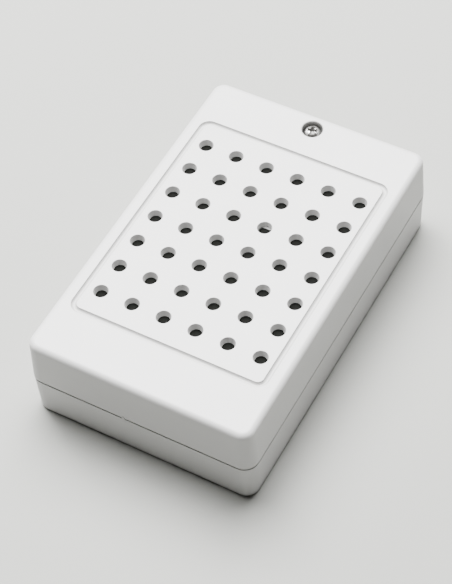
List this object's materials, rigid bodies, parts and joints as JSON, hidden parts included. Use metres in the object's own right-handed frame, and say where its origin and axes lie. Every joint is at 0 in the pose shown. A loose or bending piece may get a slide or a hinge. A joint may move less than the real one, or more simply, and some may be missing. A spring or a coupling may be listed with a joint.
{
  "type": "intercom extension sounder",
  "caption": "Small wall box with a grille of tapered holes, a loudspeaker, a terminal board and a hook-on cover held by one screw.",
  "frame": {"origin": "centre of the flat back face", "axes": "+Z out of the grille, +Y along the length towards the cover screw, +X across the width"},
  "size_m": [0.0704, 0.1114, 0.0295],
  "materials": {
    "case_plastic": "satin white moulded plastic",
    "cloth": "black woven cloth",
    "plated_screw": "bright plated",
    "pressed_steel": "zinc plated sheet",
    "ferrite": "dark ceramic magnet",
    "paper": "pressed black paper",
    "roll_edge": "flexible edge",
    "spider_cloth": "resin cloth",
    "coil_former": "kraft tube",
    "copper_wire": "enamelled copper",
    "foam": "black foam",
    "fibre_board": "phenolic fibre",
    "tinned_brass": "tinned",
    "board": "green lacquered laminate",
    "solder": "bright solder",
    "terminal_green": "green moulding",
    "trimmer_blue": "blue moulding",
    "rotor_white": "cream moulding",
    "can_sleeve": "shrink sleeve and bare top",
    "chip_black": "moulded epoxy",
    "resistor_beige": "lacquer",
    "diode_black": "moulded epoxy",
    "film_yellow": "dipped",
    "wire_red": "insulation",
    "wire_black": "insulation"
  },
  "bodies": {
    "base": {"back_case": "case_plastic", "speaker_basket": "pressed_steel", "speaker_front_plate": "pressed_steel", "speaker_magnet": "ferrite", "speaker_yoke": "pressed_steel", "speaker_surround": "roll_edge", "speaker_spider": "spider_cloth", "speaker_gasket": "foam", "speaker_tag_strip": "fibre_board", "speaker_tags": "tinned_brass", "tinsel_leads": "copper_wire", "speaker_clip_1": "pressed_steel", "speaker_clip_2": "pressed_steel", "speaker_clip_3": "pressed_steel", "speaker_clip_4": "pressed_steel", "speaker_clip_screws": "plated_screw", "circuit_board": "board", "board_screws": "plated_screw", "solder_joints": "solder", "terminal_block": "terminal_green", "terminal_contacts": "tinned_brass", "trimmer_body": "trimmer_blue", "trimmer_pins": "tinned_brass", "electrolytic_capacitor": "can_sleeve", "electrolytic_leads": "tinned_brass", "tone_chip": "chip_black", "chip_legs": "tinned_brass", "resistors": "resistor_beige", "resistor_leads": "tinned_brass", "diodes": "diode_black", "diode_leads": "tinned_brass", "film_capacitor": "film_yellow", "film_capacitor_leads": "tinned_brass", "transistor": "chip_black", "transistor_legs": "tinned_brass", "speaker_wire_red": "wire_red", "speaker_wire_black": "wire_black"},
    "cover": {"front_cover": "case_plastic", "dust_cloth": "cloth"},
    "cover_fastener": {"cover_screw": "plated_screw"},
    "cone": {"speaker_cone": "paper", "speaker_dust_cap": "paper", "voice_coil_former": "coil_former", "voice_coil_winding": "copper_wire"},
    "volume_rotor": {"trimmer_rotor": "rotor_white"},
    "clamp_1": {"terminal_clamp_1": "tinned_brass"},
    "wire_screw_1": {"terminal_screw_1": "plated_screw"},
    "clamp_2": {"terminal_clamp_2": "tinned_brass"},
    "wire_screw_2": {"terminal_screw_2": "plated_screw"},
    "clamp_3": {"terminal_clamp_3": "tinned_brass"},
    "wire_screw_3": {"terminal_screw_3": "plated_screw"}
  },
  "joints": [
    {"name": "cover_hinge", "type": "hinge", "parent": "base", "child": "cover", "pos_m": [0, -0.0556, 0.0147], "axis": [1, 0, 0], "range_deg": [0, 80]},
    {"name": "cover_screw_turn", "type": "hinge", "parent": "cover", "child": "cover_fastener", "pos_m": [0, 0.0494, 0.0269], "axis": [0, 0, 1], "continuous": true},
    {"name": "cone_travel", "type": "slide", "parent": "base", "child": "cone", "axis": [0, 0, 1], "range_m": [-0.0008, 0.0008], "stiffness_N_per_m": 1200, "deforming": ["speaker_surround", "speaker_spider", "tinsel_leads"]},
    {"name": "volume_turn", "type": "hinge", "parent": "base", "child": "volume_rotor", "pos_m": [0.0175, -0.042, 0.012], "axis": [0, 0, 1], "range_deg": [-117.5, 117.5]},
    {"name": "wire_screw_1_turn", "type": "hinge", "parent": "base", "child": "wire_screw_1", "pos_m": [-0.019, -0.04255, 0.0153], "axis": [0, 0, 1], "range_deg": [-1440, 0]},
    {"name": "clamp_1_lift", "type": "slide", "parent": "base", "child": "clamp_1", "axis": [0, 0, 1], "range_m": [0, 0.002]},
    {"name": "wire_screw_2_turn", "type": "hinge", "parent": "base", "child": "wire_screw_2", "pos_m": [-0.014, -0.04255, 0.0153], "axis": [0, 0, 1], "range_deg": [-1440, 0]},
    {"name": "clamp_2_lift", "type": "slide", "parent": "base", "child": "clamp_2", "axis": [0, 0, 1], "range_m": [0, 0.002]},
    {"name": "wire_screw_3_turn", "type": "hinge", "parent": "base", "child": "wire_screw_3", "pos_m": [-0.009, -0.04255, 0.0153], "axis": [0, 0, 1], "range_deg": [-1440, 0]},
    {"name": "clamp_3_lift", "type": "slide", "parent": "base", "child": "clamp_3", "axis": [0, 0, 1], "range_m": [0, 0.002]}
  ],
  "couplings": [
    {"joint": "wire_screw_1_turn", "follows": "clamp_1_lift", "rad_per_m": -12566},
    {"joint": "wire_screw_2_turn", "follows": "clamp_2_lift", "rad_per_m": -12566},
    {"joint": "wire_screw_3_turn", "follows": "clamp_3_lift", "rad_per_m": -12566}
  ]
}
